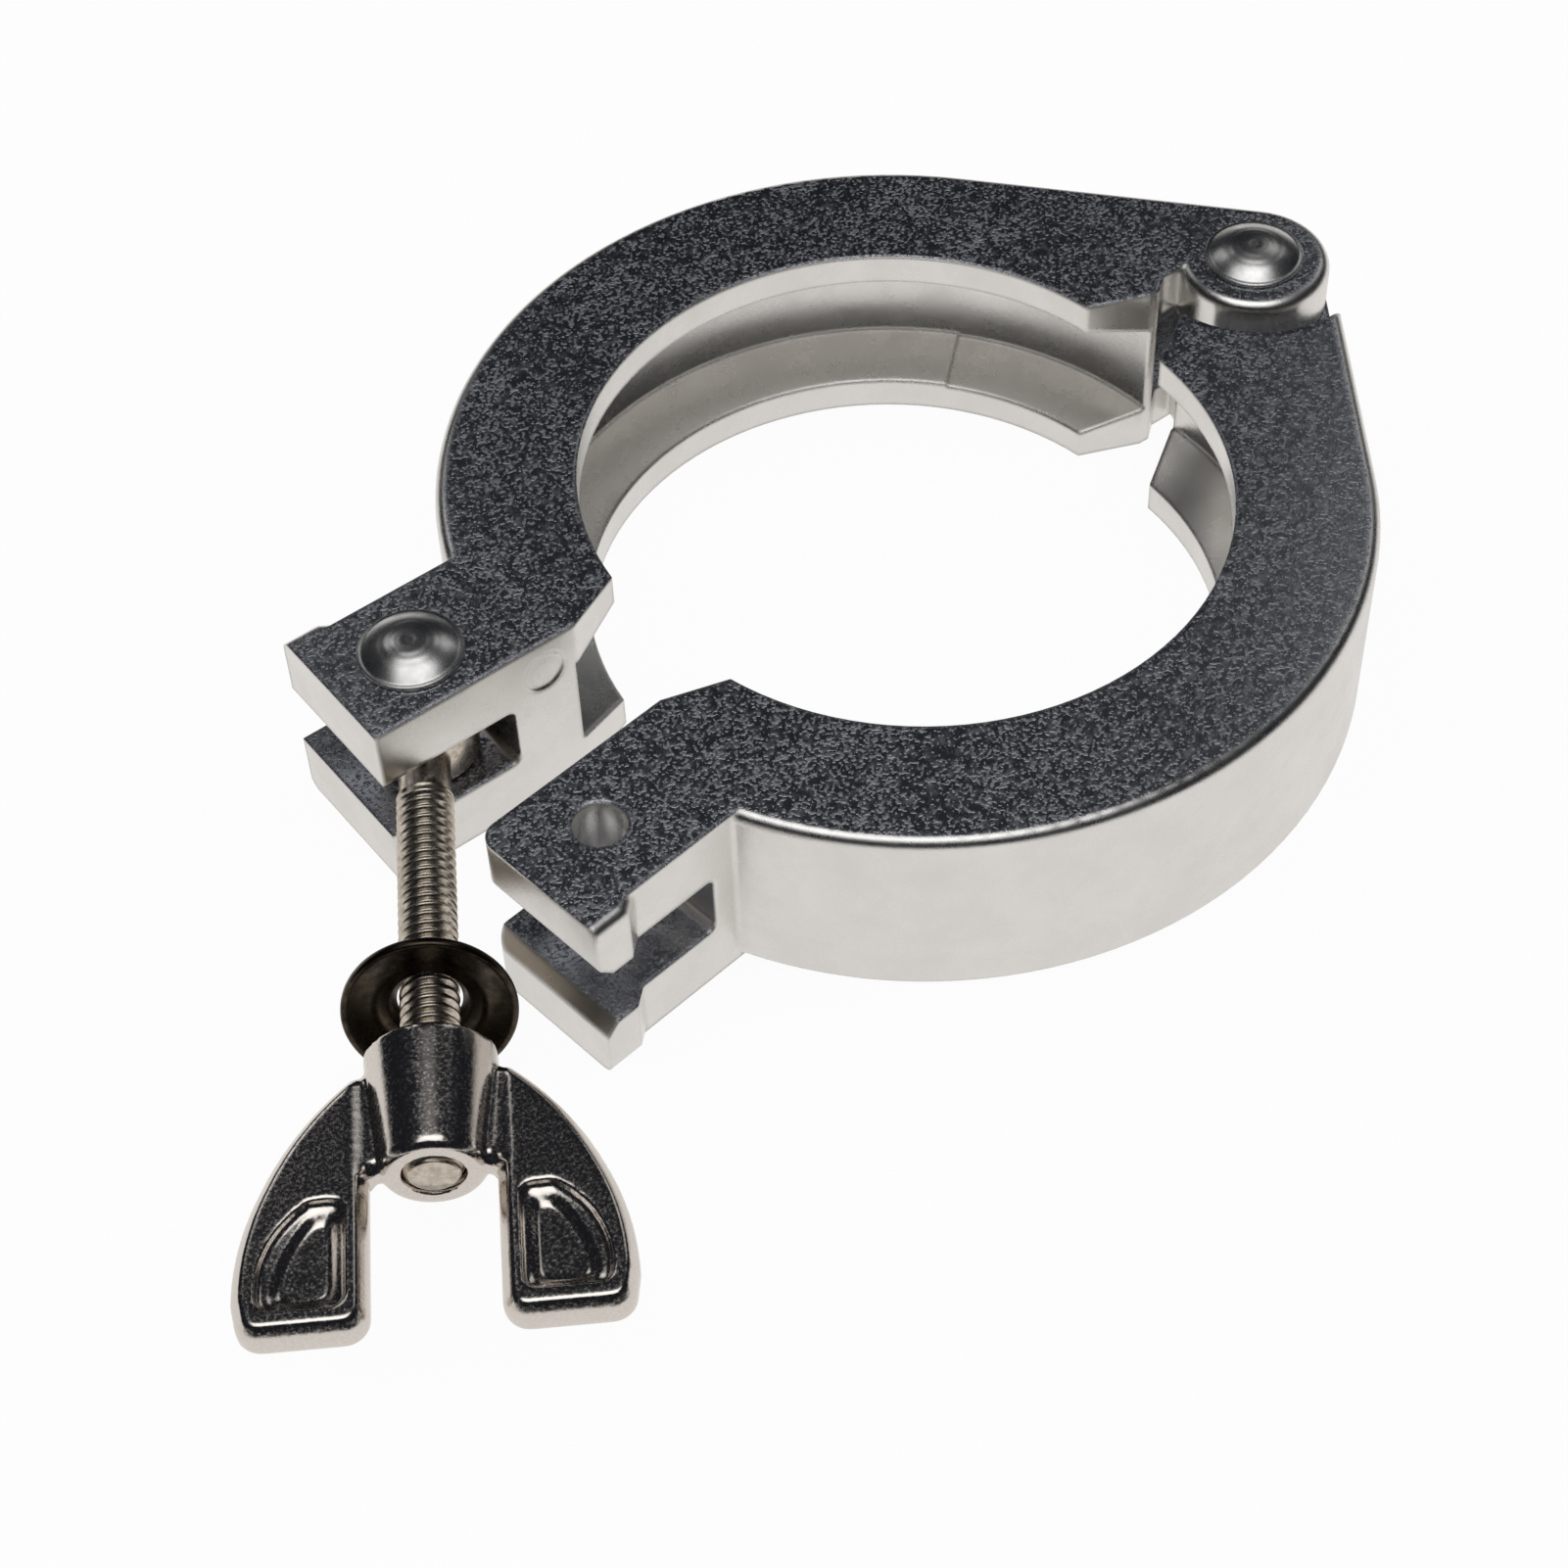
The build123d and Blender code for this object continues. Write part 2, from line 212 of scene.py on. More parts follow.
# Tumbled aluminium die casting: the tumbling peens the upper and lower faces, which mirror the dark of the
# room and sparkle where the grit struck; their colour is also painted darker and bluer, a painted shade.
# The drafted walls stay pale and satin.
castAluminium = {
    "wallColour": "#ecebe8",
    "wallShade": "#dad7d3",
    "wallRoughness": (0.22, 0.33),
    # the faces' colours, the darker one most, are painted darker and bluer than the walls': painted shade
    # standing in for the dark room the faces mirror
    "faceColour": "#dddee1",
    "faceDarkPaintedShade": "#b5b7be",
    "faceRoughness": (0.22, 0.36),      # fresh and worn
    "fleckRoughness": 0.95,
    "faceSteepness": (0.985, 0.998),    # the normal's upward part, where a wall turns into a face
    "cloudSize": 6.0 * mm,
    "cloudRange": (0.3, 0.7),
    "cloudSway": 0.07,                  # how far the clouds gather and thin the flecks
    "mottleSize": 0.9 * mm,
    "mottleRange": (0.45, 0.75),
    "gritSize": 0.27 * mm,              # the grit's marks, a little coarser than real so that they show
    "gritRange": (0.545, 0.76),
    "grainSize": 0.16 * mm,
    "grainDepth": 0.006 * mm,
    "dentDepth": 0.04 * mm,
    "edgeRadius": 0.6 * mm,
}


def makeCastAluminium(look):
    material, tree = newMaterial("tumbledCastAluminiumWithPaintedShade")
    place = addNode(tree, "ShaderNodeTexCoord")

    # where the tumbled faces are
    normalParts = addNode(tree, "ShaderNodeSeparateXYZ", links={"Vector": place.outputs["Normal"]})
    upward = addNode(tree, "ShaderNodeMath", {"operation": "ABSOLUTE"}, {0: normalParts.outputs["Z"]})
    start, finish = look["faceSteepness"]
    flatFace = addNode(tree, "ShaderNodeMapRange",
                       {"interpolation_type": "SMOOTHSTEP", "From Min": start, "From Max": finish},
                       {"Value": upward.outputs[0]})

    # clouds, wear and the grit's flecks, from coarse to fine
    cloud = addNode(tree, "ShaderNodeTexNoise",
                    {"Scale": 1 / look["cloudSize"], "Detail": 5.0, "Roughness": 0.7},
                    {"Vector": place.outputs["Object"]})
    start, finish = look["cloudRange"]
    cloudShift = addNode(tree, "ShaderNodeMapRange",
                         {"From Min": start, "From Max": finish,
                          "To Min": -look["cloudSway"], "To Max": look["cloudSway"]},
                         {"Value": cloud.outputs["Fac"]})
    mottle = addNode(tree, "ShaderNodeTexNoise",
                     {"Scale": 1 / look["mottleSize"], "Detail": 4.0, "Roughness": 0.7},
                     {"Vector": place.outputs["Object"]})
    start, finish = look["mottleRange"]
    worn = addNode(tree, "ShaderNodeMapRange", {"From Min": start, "From Max": finish},
                   {"Value": mottle.outputs["Fac"]})
    grit = addNode(tree, "ShaderNodeTexNoise",
                   {"Scale": 1 / look["gritSize"], "Detail": 1.0, "Roughness": 0.5},
                   {"Vector": place.outputs["Object"]})
    gritLevel = addNode(tree, "ShaderNodeMath", {"operation": "ADD"},
                        {0: grit.outputs["Fac"], 1: cloudShift.outputs[0]})
    start, finish = look["gritRange"]
    fleck = addNode(tree, "ShaderNodeMapRange", {"From Min": start, "From Max": finish},
                    {"Value": gritLevel.outputs[0]})

    # the faces' tone is painted shade: a random worn mottle between two colours, both darker than the
    # walls'
    faceToneWithPaintedShade = addNode(tree, "ShaderNodeMix",
                       {"data_type": "RGBA", 6: linearColour(look["faceDarkPaintedShade"]),
                        7: linearColour(look["faceColour"])},
                       {0: worn.outputs[0]})
    wallTone = addNode(tree, "ShaderNodeMix",
                       {"data_type": "RGBA", 6: linearColour(look["wallColour"]),
                        7: linearColour(look["wallShade"])},
                       {0: cloud.outputs["Fac"]})
    # the upper and lower faces take the painted-shade tone, the walls their own pale one
    tone = addNode(tree, "ShaderNodeMix", {"data_type": "RGBA"},
                   {0: flatFace.outputs[0], 6: wallTone.outputs[2], 7: faceToneWithPaintedShade.outputs[2]})

    fresh, old = look["faceRoughness"]
    wornGloss = addNode(tree, "ShaderNodeMapRange", {"To Min": fresh, "To Max": old},
                        {"Value": worn.outputs[0]})
    faceGloss = addNode(tree, "ShaderNodeMix", {"data_type": "FLOAT", 3: look["fleckRoughness"]},
                        {0: fleck.outputs[0], 2: wornGloss.outputs[0]})
    start, finish = look["cloudRange"]
    smooth, rough = look["wallRoughness"]
    wallGloss = addNode(tree, "ShaderNodeMapRange",
                        {"From Min": start, "From Max": finish, "To Min": smooth, "To Max": rough},
                        {"Value": cloud.outputs["Fac"]})
    gloss = addNode(tree, "ShaderNodeMix", {"data_type": "FLOAT"},
                    {0: flatFace.outputs[0], 2: wallGloss.outputs[0], 3: faceGloss.outputs[0]})

    softEdge = addNode(tree, "ShaderNodeBevel", {"samples": 6, "Radius": look["edgeRadius"]})
    grain = addNode(tree, "ShaderNodeTexNoise", {"Scale": 1 / look["grainSize"], "Detail": 1.0},
                    {"Vector": place.outputs["Object"]})
    grained = addNode(tree, "ShaderNodeBump", {"Strength": 1.0, "Distance": look["grainDepth"]},
                      {"Height": grain.outputs["Fac"], "Normal": softEdge.outputs[0]})
    dentHeight = addNode(tree, "ShaderNodeMath", {"operation": "MULTIPLY"},
                         {0: fleck.outputs[0], 1: flatFace.outputs[0]})
    dented = addNode(tree, "ShaderNodeBump", {"Strength": 1.0, "Distance": look["dentDepth"]},
                     {"Height": dentHeight.outputs[0], "Normal": grained.outputs[0]})
    shader = addNode(tree, "ShaderNodeBsdfPrincipled", {"Metallic": 1.0},
                     {"Base Color": tone.outputs[2], "Roughness": gloss.outputs[0],
                      "Normal": dented.outputs[0]})
    addNode(tree, "ShaderNodeOutputMaterial", links={"Surface": shader.outputs[0]})
    return material


def makeMetal(name, look):
    # a plain metal with a fine mottle
    material, tree = newMaterial(name)
    place = addNode(tree, "ShaderNodeTexCoord")
    mottle = addNode(tree, "ShaderNodeTexNoise",
                     {"Scale": 1 / look["mottleSize"], "Detail": 4.0, "Roughness": 0.6},
                     {"Vector": place.outputs["Object"]})
    start, finish = look["patchRange"]
    patch = addNode(tree, "ShaderNodeMapRange", {"From Min": start, "From Max": finish},
                    {"Value": mottle.outputs["Fac"]})
    tone = addNode(tree, "ShaderNodeMix",
                   {"data_type": "RGBA", 6: linearColour(look["colour"]),
                    7: linearColour(look["patchColour"])},
                   {0: patch.outputs[0]})
    gloss = addNode(tree, "ShaderNodeMapRange",
                    {"To Min": look["roughness"], "To Max": look["patchRoughness"]},
                    {"Value": patch.outputs[0]})
    softEdge = addNode(tree, "ShaderNodeBevel", {"samples": 4, "Radius": look["edgeRadius"]})
    bump = addNode(tree, "ShaderNodeBump", {"Strength": 0.4, "Distance": look["dentDepth"]},
                   {"Height": patch.outputs[0], "Normal": softEdge.outputs[0]})
    shader = addNode(tree, "ShaderNodeBsdfPrincipled", {"Metallic": 1.0},
                     {"Base Color": tone.outputs[2], "Roughness": gloss.outputs[0],
                      "Normal": bump.outputs[0]})
    addNode(tree, "ShaderNodeOutputMaterial", links={"Surface": shader.outputs[0]})
    return material


# Satin stainless, formed cold: neutral grey with a faint unevenness.
rivetLook = {
    "colour": "#d9d8d6", "patchColour": "#c9c8c6", "roughness": 0.24, "patchRoughness": 0.3,
    "mottleSize": 1.6 * mm, "patchRange": (0.35, 0.65), "edgeRadius": 0.2 * mm, "dentDepth": 0.008 * mm,
}
# Rolled stainless thread: warm grey, bright on the crests.
boltLook = {
    "colour": "#d2c9bc", "patchColour": "#b3a99c", "roughness": 0.2, "patchRoughness": 0.32,
    "mottleSize": 0.5 * mm, "patchRange": (0.35, 0.65), "edgeRadius": 0.05 * mm, "dentDepth": 0.004 * mm,
}
# Dull nickel over pressed steel: brownish and blotched, its colour painted darker still as painted shade
# for the nut's dark underside mirrored in it.
washerLook = {
    # the dark colours hold painted shade besides the nickel's own brownish tone
    "colour": "#51483e", "patchColour": "#2e2822", "roughness": 0.2, "patchRoughness": 0.32,
    "mottleSize": 1.1 * mm, "patchRange": (0.35, 0.65), "edgeRadius": 0.16 * mm, "dentDepth": 0.008 * mm,
}
# Bright nickel over a zinc die casting: near mirror with an orange peel and tiny pits.
nutLook = {
    "colour": "#d6cfc8", "patchColour": "#e6e1dc", "roughness": 0.12, "patchRoughness": 0.4,
    "mottleSize": 0.24 * mm, "patchRange": (0.44, 0.84), "edgeRadius": 0.08 * mm, "dentDepth": 0.01 * mm,
}

castMetal = makeCastAluminium(castAluminium)
rivetMetal = makeMetal("satinStainlessRivet", rivetLook)
boltMetal = makeMetal("rolledStainlessScrew", boltLook)
washerMetal = makeMetal("dullNickelWasherWithPaintedShade", washerLook)
nutMetal = makeMetal("brightNickelCasting", nutLook)
print("finishes made")


rounding = {
    "radius": 0.9 * mm,                 # of the outer edges of the upper and lower faces
    "slopes": (0.01, 0.9999),           # the normal's upward part on a rounding
    "clearOfRivets": 3.2 * mm,
}


def castingMesh(node):
    # the edge rounding's normals follow its arc, which the loose triangles only come near
    mesh = joinedCopy(node)
    stored = mesh.attributes["surfaceNormal"].data
    start = topLevel - rounding["radius"]
    flattest, steepest = rounding["slopes"]
    normals = []
    for loop in mesh.loops:
        normal = Vector(stored[loop.index].vector)
        spot = mesh.vertices[loop.vertex_index].co
        share = (abs(spot.z) - start) / rounding["radius"]
        nearRivet = min((spot - pin).xy.length for pin in (hinge, pivot)) < rounding["clearOfRivets"]
        if flattest < abs(normal.z) < steepest and share > -0.001 and not nearRivet:
            share = min(1.0, max(0.0, share))
            flat = normal.xy.normalized() * math.sqrt(1 - share ** 2)
            normal = Vector((flat.x, flat.y, math.copysign(share, spot.z)))
        normals.append(normal.normalized())
    mesh.attributes.remove(mesh.attributes["surfaceNormal"])
    mesh.polygons.foreach_set("use_smooth", [True] * len(mesh.polygons))
    mesh.normals_split_custom_set(normals)
    return mesh


castings = {"fork_half": ("fork_side", "forkCasting"), "tongue_half": ("tongue_side", "tongueCasting")}
for node, (body, name) in castings.items():
    placePiece(name, castingMesh(node), castMetal, body, node, sharpAngle=None)
print("castings dressed")


rivet = {
    "headRadius": 3.9, "rim": 0.35, "headHeight": 1.35, "domeSteps": 44,
    "footEdge": 0.12, "rimEdge": (0.15, 0.1), "rimTaper": 0.03,
    "shankRadius": 1.9, "peenRadius": 2.7, "peenDepth": 0.9, "peenEdge": (0.15, 0.1),
    "dimpleRadius": 1.25, "dimpleDepth": 0.07, "ringSpacing": 0.6, "ringDepth": 0.004, "ringReach": 2.4,
}


def rivetProfile(sizes):
    level = topLevel / mm
    domeRadius = sizes["headRadius"] - sizes["rim"]
    rise = sizes["headHeight"] - sizes["rim"]
    sphere = (domeRadius ** 2 + rise ** 2) / (2 * rise)
    top = level + sizes["headHeight"]
    head, foot = sizes["headRadius"], sizes["footEdge"]
    rimIn, rimDown = sizes["rimEdge"]
    peenIn, peenUp = sizes["peenEdge"]
    points = [
        (0, -level), (sizes["peenRadius"] - peenIn, -level), (sizes["peenRadius"], -level + peenUp),
        (sizes["shankRadius"], -level + sizes["peenDepth"]), (sizes["shankRadius"], level),
        (head - foot, level), (head, level + foot),
        (head - sizes["rimTaper"], level + sizes["rim"] - rimDown), (head - rimIn, level + sizes["rim"]),
    ]
    steps = sizes["domeSteps"]
    edge = math.asin(domeRadius / sphere)
    for k in range(steps + 1):
        lean = edge * (1 - k / steps)
        r = sphere * math.sin(lean)
        h = top - sphere * (1 - math.cos(lean))
        inward = min(1.0, r / sizes["dimpleRadius"])
        h -= sizes["dimpleDepth"] * (0.5 + 0.5 * math.cos(math.pi * inward))
        if r < sizes["ringReach"]:
            h -= sizes["ringDepth"] * (1 - math.cos(2 * math.pi * r / sizes["ringSpacing"]))
        points.append((r if k < steps else 0, h))
    return points


for node, spot, name in (("hinge_rivet", hinge, "hingeRivet"), ("pivot_rivet", pivot, "pivotRivet")):
    shape = bmesh.new()
    lathe(shape, rivetProfile(rivet), Matrix.Translation(Vector((spot.x, spot.y, 0))))
    placePiece(name, meshFromShape(shape, name), rivetMetal, "fork_side", node)
print("rivets made")


bolt = {
    "threadRadius": 2.085, "pitch": 25.4 / 32, "threadDepth": 0.36, "threadStart": 7.2, "length": 39.3,
    "endBevel": 0.45, "neckRadius": 1.9, "neckFlare": (0.1, 0.05), "neckOverlap": 0.3, "neckInEye": 0.6,
    "eyeRadius": 3.95, "eyeHalf": 2.6, "eyeBore": 1.98, "eyeRound": 0.5, "boreRound": 0.15,
    "grooveRange": (0.12, 0.92), "runOutTurns": 1.5, "ringsPerTurn": 12, "sides": 64,
}


def threadTree(sizes, material):
    tree = bpy.data.node_groups.new("rolledThread", "GeometryNodeTree")
    tree.interface.new_socket("Geometry", in_out="OUTPUT", socket_type="NodeSocketGeometry")
    for name in ("Radius", "Pitch", "Depth", "Length", "Bevel"):
        tree.interface.new_socket(name, in_out="INPUT", socket_type="NodeSocketFloat")
    for name in ("Rings", "Sides"):
        tree.interface.new_socket(name, in_out="INPUT", socket_type="NodeSocketInt")
    given = addNode(tree, "NodeGroupInput").outputs
    blank = addNode(tree, "GeometryNodeMeshCylinder", {"fill_type": "NGON"},
                    {"Vertices": given["Sides"], "Side Segments": given["Rings"],
                     "Radius": given["Radius"], "Depth": given["Length"]})

    # each point's height above the thread's start and its bearing, both in turns
    position = addNode(tree, "GeometryNodeInputPosition")
    spot = addNode(tree, "ShaderNodeSeparateXYZ", links={"Vector": position.outputs[0]}).outputs
    halfLength = addNode(tree, "ShaderNodeMath", {"operation": "MULTIPLY", 1: 0.5}, {0: given["Length"]})
    height = addNode(tree, "ShaderNodeMath", {"operation": "ADD"},
                     {0: spot["Z"], 1: halfLength.outputs[0]}).outputs[0]
    turns = addNode(tree, "ShaderNodeMath", {"operation": "DIVIDE"}, {0: height, 1: given["Pitch"]})
    angle = addNode(tree, "ShaderNodeMath", {"operation": "ARCTAN2"}, {0: spot["Y"], 1: spot["X"]})
    bearing = addNode(tree, "ShaderNodeMath", {"operation": "DIVIDE", 1: 2 * math.pi},
                      {0: angle.outputs[0]})

    # a groove midway between two crests, fading in over the first turns
    behind = addNode(tree, "ShaderNodeMath", {"operation": "SUBTRACT"},
                     {0: turns.outputs[0], 1: bearing.outputs[0]})
    phase = addNode(tree, "ShaderNodeMath", {"operation": "FRACT"}, {0: behind.outputs[0]})
    doubled = addNode(tree, "ShaderNodeMath", {"operation": "MULTIPLY", 1: 2.0}, {0: phase.outputs[0]})
    centred = addNode(tree, "ShaderNodeMath", {"operation": "SUBTRACT", 1: 1.0}, {0: doubled.outputs[0]})
    ridge = addNode(tree, "ShaderNodeMath", {"operation": "ABSOLUTE"}, {0: centred.outputs[0]})
    start, finish = sizes["grooveRange"]
    groove = addNode(tree, "ShaderNodeMapRange",
                     {"interpolation_type": "SMOOTHSTEP", "From Min": start, "From Max": finish},
                     {"Value": ridge.outputs[0]})
    runOut = addNode(tree, "ShaderNodeMapRange", {"From Min": 0.0, "From Max": sizes["runOutTurns"]},
                     {"Value": turns.outputs[0]})
    cutShare = addNode(tree, "ShaderNodeMath", {"operation": "MULTIPLY"},
                       {0: groove.outputs[0], 1: runOut.outputs[0]})
    cut = addNode(tree, "ShaderNodeMath", {"operation": "MULTIPLY"},
                  {0: cutShare.outputs[0], 1: given["Depth"]})

    # the bevelled end
    toEnd = addNode(tree, "ShaderNodeMath", {"operation": "SUBTRACT"}, {0: given["Length"], 1: height})
    intoBevel = addNode(tree, "ShaderNodeMath", {"operation": "SUBTRACT"},
                        {0: given["Bevel"], 1: toEnd.outputs[0]})
    bevelCut = addNode(tree, "ShaderNodeMath", {"operation": "MAXIMUM", 1: 0.0}, {0: intoBevel.outputs[0]})
    deepest = addNode(tree, "ShaderNodeMath", {"operation": "MAXIMUM"},
                      {0: cut.outputs[0], 1: bevelCut.outputs[0]})

    radius = addNode(tree, "ShaderNodeMath", {"operation": "SUBTRACT"},
                     {0: given["Radius"], 1: deepest.outputs[0]})
    share = addNode(tree, "ShaderNodeMath", {"operation": "DIVIDE"},
                    {0: radius.outputs[0], 1: given["Radius"]})
    movedX = addNode(tree, "ShaderNodeMath", {"operation": "MULTIPLY"}, {0: spot["X"], 1: share.outputs[0]})
    movedY = addNode(tree, "ShaderNodeMath", {"operation": "MULTIPLY"}, {0: spot["Y"], 1: share.outputs[0]})
    moved = addNode(tree, "ShaderNodeCombineXYZ",
                    links={"X": movedX.outputs[0], "Y": movedY.outputs[0], "Z": height})
    shaped = addNode(tree, "GeometryNodeSetPosition",
                     links={"Geometry": blank.outputs["Mesh"], "Position": moved.outputs[0]})
    real = addNode(tree, "GeometryNodeRealizeInstances", links={0: shaped.outputs[0]})
    dressed = addNode(tree, "GeometryNodeSetMaterial", {"Material": material},
                      {"Geometry": real.outputs[0]})
    addNode(tree, "NodeGroupOutput", links={0: dressed.outputs[0]})
    return tree


def runTree(tree, values):
    holder = bpy.data.objects.new("holder", bpy.data.meshes.new("holder"))
    bpy.context.scene.collection.objects.link(holder)
    modifier = holder.modifiers.new("nodes", "NODES")
    modifier.node_group = tree
    for item in tree.interface.items_tree:
        if item.in_out == "INPUT":
            modifier[item.identifier] = values[item.name]
    bpy.context.view_layer.update()
    result = bpy.data.meshes.new_from_object(holder.evaluated_get(bpy.context.evaluated_depsgraph_get()))
    bpy.data.objects.remove(holder)
    return result


threadLength = bolt["length"] - bolt["threadStart"]
thread = runTree(threadTree(bolt, boltMetal), {
    "Radius": bolt["threadRadius"] * mm, "Pitch": bolt["pitch"] * mm, "Depth": bolt["threadDepth"] * mm,
    "Length": threadLength * mm, "Bevel": bolt["endBevel"] * mm,
    "Rings": round(threadLength / bolt["pitch"] * bolt["ringsPerTurn"]), "Sides": bolt["sides"],
})
thread.transform(boltSpace(bolt["threadStart"] * mm))
shape = bmesh.new()
eyeCorners = [
    (bolt["eyeBore"], -bolt["eyeHalf"], bolt["boreRound"]),
    (bolt["eyeRadius"], -bolt["eyeHalf"], bolt["eyeRound"]),
    (bolt["eyeRadius"], bolt["eyeHalf"], bolt["eyeRound"]),
    (bolt["eyeBore"], bolt["eyeHalf"], bolt["boreRound"]),
]
lathe(shape, roundCorners(eyeCorners, closed=True), Matrix.Translation(pivot), closed=True)
neckStart = bolt["eyeBore"] + bolt["neckInEye"]
neckEnd = bolt["threadStart"] + bolt["neckOverlap"]
beforeThread, inThread = bolt["neckFlare"]
neck = [
    (0, neckStart), (bolt["neckRadius"], neckStart),
    (bolt["neckRadius"], bolt["threadStart"] - beforeThread),
    (bolt["threadRadius"], bolt["threadStart"] + inThread),
    (bolt["threadRadius"] - bolt["neckOverlap"], neckEnd), (0, neckEnd),
]
lathe(shape, neck, boltSpace())
bmesh.ops.recalc_face_normals(shape, faces=shape.faces)
shape.from_mesh(thread)
boltMesh = bpy.data.meshes.new("swingBolt")
shape.to_mesh(boltMesh)
shape.free()
placePiece("swingBolt", boltMesh, boltMetal, "bolt", "swing_bolt", sharpAngle=50)
print("bolt made")


washer = {
    "distance": 24.9, "drop": 0.15, "tilt": 15.0,
    "holeBack": 2.13, "holeFront": 2.8, "seat": 3.8, "radius": 6.05, "thickness": 0.9, "rise": 1.2,
    "holeRound": 0.12, "mouthRound": 0.2, "edgeRound": 0.3, "bendRound": 1.2,
}
half = washer["thickness"] / 2
section = [
    (washer["holeBack"], -half, washer["holeRound"]),
    (washer["seat"], -half, washer["bendRound"]),
    (washer["radius"], washer["rise"] - half, washer["edgeRound"]),
    (washer["radius"], washer["rise"] + half, washer["edgeRound"]),
    (washer["seat"], half, washer["bendRound"]),
    (washer["holeFront"], half, washer["mouthRound"]),
]
shape = bmesh.new()
lathe(shape, roundCorners(section, closed=True, steps=7),
      boltSpace(washer["distance"] * mm, -washer["drop"] * mm, math.radians(washer["tilt"])), closed=True)
washerMesh = meshFromShape(shape, "cupWasher")
placePiece("cupWasher", washerMesh, washerMetal, "washer", "cup_washer")
print("washer made")


# Cast edges and blends are softened all over, and each thumb pad sinks in a second step. Distances run
# along the bolt from the hub's base, across to either wing, and up from the wings' middle plane.
nut = {
    "voxel": 0.15, "softening": 10, "finalSoftening": 5, "base": 30.0,
    "hubSlim": 0.93, "hubRadius": 5.2, "hubBore": 3.0, "hubLength": 9.5,
    "wingHalf": 1.2, "thicken": 0.38, "thickenFrom": 3.0, "thickenOver": 2.6,
    "tipFrom": 10.0, "tipShare": 0.92,
    "padEnd": 20.1, "padLength": 8.6, "padInner": 5.7, "padCorner": 0.45,
    "padOuterEnd": 11.15, "padOuterMiddle": 10.35, "padOuterStart": 7.9,
    "stepInset": 0.25, "stepWidth": 0.9, "stepDepth": 0.36, "webHalf": 1.3,
}


def smoothStep(share):
    share = min(1.0, max(0.0, share))
    return share * share * (3 - 2 * share)


def padDistance(sizes, along, across):
    # how far a point lies inside a pad's outline, in mm
    share = (sizes["padEnd"] - along) / sizes["padLength"]
    outer = (sizes["padOuterEnd"] * (1 - share) * (1 - 2 * share)
             + 4 * sizes["padOuterMiddle"] * share * (1 - share)
             + sizes["padOuterStart"] * share * (2 * share - 1))
    padStart = sizes["padEnd"] - sizes["padLength"]
    gaps = (sizes["padEnd"] - along, along - padStart, across - sizes["padInner"], outer - across)
    corner = sizes["padCorner"]
    return -corner * math.log(sum(math.exp(-gap / corner) for gap in gaps))


def shapeNut(sizes, along, across, level):
    # where a point of the softened solid goes, all in mm
    beside = abs(across)
    inPad = (along > sizes["padEnd"] - sizes["padLength"]
             and sizes["padInner"] < beside < sizes["padOuterEnd"])
    if inPad and abs(level) < sizes["webHalf"]:
        inside = padDistance(sizes, along, beside) - sizes["stepInset"]
        level -= math.copysign(sizes["stepDepth"] * smoothStep(inside / sizes["stepWidth"]), level)
    if along < sizes["hubLength"] and sizes["hubBore"] < math.hypot(across, level) < sizes["hubRadius"]:
        across *= sizes["hubSlim"]
        level *= sizes["hubSlim"]
    inWing = smoothStep((abs(across) - sizes["thickenFrom"]) / sizes["thickenOver"])
    inWing *= 1 - smoothStep(abs(level) / sizes["wingHalf"] - 1)
    level *= 1 + sizes["thicken"] * inWing
    if along > sizes["tipFrom"]:
        along = sizes["tipFrom"] + (along - sizes["tipFrom"]) * sizes["tipShare"]
    return max(along, 0), across, level


nutMesh = applyModifiers(joinedCopy("wing_nut"), [
    ("REMESH", {"mode": "VOXEL", "voxel_size": nut["voxel"] * mm, "adaptivity": 0.0}),
    ("SMOOTH", {"factor": 0.6, "iterations": nut["softening"]}),
])
upward = Vector((0, 0, 1))
sideways = upward.cross(alongBolt).normalized()
for vertex in nutMesh.vertices:
    reach = vertex.co - pivot
    along = reach.dot(alongBolt) / mm - nut["base"]
    along, across, level = shapeNut(nut, along, reach.dot(sideways) / mm, vertex.co.z / mm)
    spot = alongBolt * (along + nut["base"]) + sideways * across + upward * level
    vertex.co = pivot + spot * mm
nutMesh = applyModifiers(nutMesh, [("SMOOTH", {"factor": 0.5, "iterations": nut["finalSoftening"]})])
placePiece("wingNut", nutMesh, nutMetal, "nut", "wing_nut", sharpAngle=70)
print("nut made")


stage = {
    "floorColour": "#f4f4f4", "floorSize": 6.0, "floorDrop": 0.02 * mm,
    "whiteToCamera": 0.95,              # the rest is the painted floor, which keeps the shadow
    "paleToMetal": 0.9,
    "horizonColour": "#f1efed", "horizonRange": (-0.05, 0.1),
    "roomColour": "#1d1f24",
    "ceilingColour": "#d4d4d6", "ceilingRange": (0.87, 1.04),
}

floorMaterial, tree = newMaterial("paleFloor")
paint = addNode(tree, "ShaderNodeBsdfDiffuse", {"Color": linearColour(stage["floorColour"])})
path = addNode(tree, "ShaderNodeLightPath")
seen = addNode(tree, "ShaderNodeEmission", {"Color": (1, 1, 1, 1), "Strength": 1.0})
mirrored = addNode(tree, "ShaderNodeEmission",
                   {"Color": linearColour(stage["horizonColour"]), "Strength": 1.0})
whiteShare = addNode(tree, "ShaderNodeMath", {"operation": "MULTIPLY", 1: stage["whiteToCamera"]},
                     {0: path.outputs["Is Camera Ray"]})
forCamera = addNode(tree, "ShaderNodeMixShader",
                    links={0: whiteShare.outputs[0], 1: paint.outputs[0], 2: seen.outputs[0]})
paleShare = addNode(tree, "ShaderNodeMath", {"operation": "MULTIPLY", 1: stage["paleToMetal"]},
                    {0: path.outputs["Is Glossy Ray"]})
